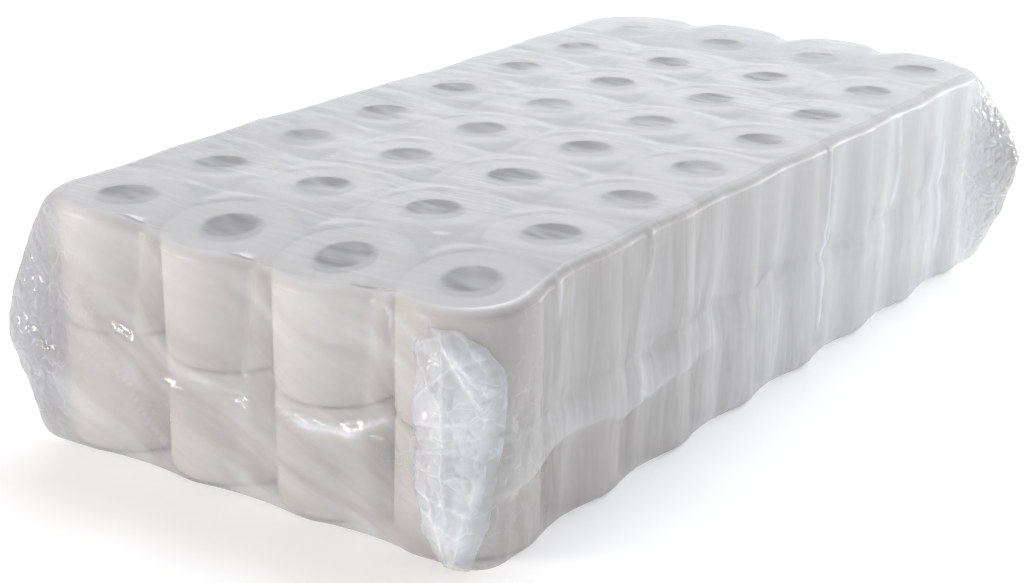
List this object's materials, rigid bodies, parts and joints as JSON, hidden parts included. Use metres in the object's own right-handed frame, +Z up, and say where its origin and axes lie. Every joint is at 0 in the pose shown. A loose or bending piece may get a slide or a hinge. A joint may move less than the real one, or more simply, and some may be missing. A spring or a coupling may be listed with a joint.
{
  "type": "toilet paper roll pack",
  "caption": "Long low pack of toilet paper rolls that stand on end side by side in two layers, wrapped in one clear film bag with welded ends.",
  "frame": {"origin": "middle of the face that the pack stands on", "axes": "+X across the pack, +Y along its length, +Z up along the rolls"},
  "size_m": [0.4588, 0.8688, 0.1893],
  "materials": {
    "tissue": "soft matt crepe",
    "core_card": "matt, spiral wound",
    "film": "glossy translucent, wrinkled"
  },
  "bodies": {
    "root": {"upper_roll_r1_c1": "tissue", "upper_roll_r1_c2": "tissue", "upper_roll_r1_c3": "tissue", "upper_roll_r1_c4": "tissue", "upper_roll_r2_c1": "tissue", "upper_roll_r2_c2": "tissue", "upper_roll_r2_c3": "tissue", "upper_roll_r2_c4": "tissue", "upper_roll_r3_c1": "tissue", "upper_roll_r3_c2": "tissue", "upper_roll_r3_c3": "tissue", "upper_roll_r3_c4": "tissue", "upper_roll_r4_c1": "tissue", "upper_roll_r4_c2": "tissue", "upper_roll_r4_c3": "tissue", "upper_roll_r4_c4": "tissue", "upper_roll_r5_c1": "tissue", "upper_roll_r5_c2": "tissue", "upper_roll_r5_c3": "tissue", "upper_roll_r5_c4": "tissue", "upper_roll_r6_c1": "tissue", "upper_roll_r6_c2": "tissue", "upper_roll_r6_c3": "tissue", "upper_roll_r6_c4": "tissue", "upper_roll_r7_c1": "tissue", "upper_roll_r7_c2": "tissue", "upper_roll_r7_c3": "tissue", "upper_roll_r7_c4": "tissue", "upper_roll_r8_c1": "tissue", "upper_roll_r8_c2": "tissue", "upper_roll_r8_c3": "tissue", "upper_roll_r8_c4": "tissue", "lower_rolls_row_1": "tissue", "lower_rolls_row_2": "tissue", "lower_rolls_row_3": "tissue", "lower_rolls_row_4": "tissue", "lower_rolls_row_5": "tissue", "lower_rolls_row_6": "tissue", "lower_rolls_row_7": "tissue", "lower_rolls_row_8": "tissue", "upper_cores_row_1": "core_card", "upper_cores_row_2": "core_card", "upper_cores_row_3": "core_card", "upper_cores_row_4": "core_card", "upper_cores_row_5": "core_card", "upper_cores_row_6": "core_card", "upper_cores_row_7": "core_card", "upper_cores_row_8": "core_card", "lower_cores_row_1": "core_card", "lower_cores_row_2": "core_card", "lower_cores_row_3": "core_card", "lower_cores_row_4": "core_card", "lower_cores_row_5": "core_card", "lower_cores_row_6": "core_card", "lower_cores_row_7": "core_card", "lower_cores_row_8": "core_card", "film_bag": "film"}
  },
  "joints": []
}
